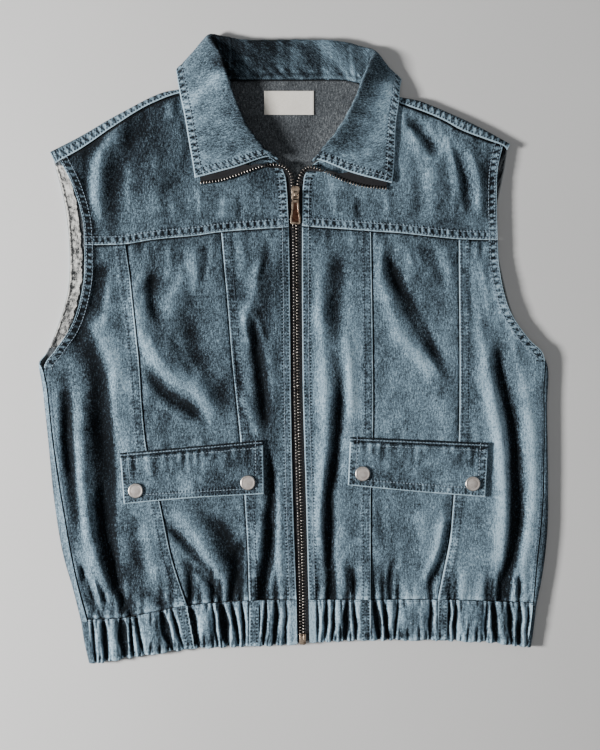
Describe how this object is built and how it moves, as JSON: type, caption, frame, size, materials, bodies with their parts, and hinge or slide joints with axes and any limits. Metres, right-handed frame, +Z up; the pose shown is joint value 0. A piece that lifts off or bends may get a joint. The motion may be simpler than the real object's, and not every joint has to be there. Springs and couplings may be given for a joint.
{
  "type": "denim vest laid flat",
  "caption": "Sleeveless denim vest with shirt collar, zip front, buttoned flap pockets and a gathered elastic waist, laid flat on its back.",
  "frame": {"origin": "on the surface the vest lies on, under the middle of its outline", "axes": "+Z up from the surface, +Y from the hem towards the collar, +X to the right as seen from above, which is the wearer's left"},
  "size_m": [0.5115, 0.6301, 0.0218],
  "materials": {
    "denim": "washed mid blue twill, faded and worn light on seam edges, dull",
    "denim_inside": "grey weft side of the denim, dull",
    "facing": "pale undyed twill facing inside the armhole",
    "zip_tape": "black woven tape",
    "zip_metal": "antique brass, darker in its recesses, rubbed bright on top",
    "snap_metal": "satin pinkish nickel",
    "label": "blank woven label, cream white, slight sheen"
  },
  "bodies": {
    "root": {"back_panel": "denim_inside", "armhole_facing_left": "facing", "zip_tape_left": "zip_tape", "zip_tape_right": "zip_tape", "zip_chain_left": "zip_metal", "zip_chain_right": "zip_metal", "zip_slider": "zip_metal", "zip_box": "zip_metal", "snap_left_outer": "snap_metal", "snap_left_inner": "snap_metal", "snap_right_inner": "snap_metal", "snap_right_outer": "snap_metal", "neck_label": "label", "back_waistband": "denim", "front_yoke_left": "denim", "front_yoke_right": "denim", "front_side_left": "denim", "front_side_right": "denim", "front_middle_left": "denim", "front_middle_right": "denim", "front_centre_left": "denim", "front_centre_right": "denim", "front_waistband_left": "denim", "front_waistband_right": "denim", "collar": "denim", "pocket_flap_left": "denim", "pocket_flap_right": "denim"},
    "pull": {"zip_pull": "zip_metal"}
  },
  "joints": [
    {"name": "pull_tab_hinge", "type": "hinge", "parent": "root", "child": "pull", "pos_m": [0.00142, 0.1556, 0.0118], "axis": [-1, 0, 0], "range_deg": [0, 165]}
  ]
}
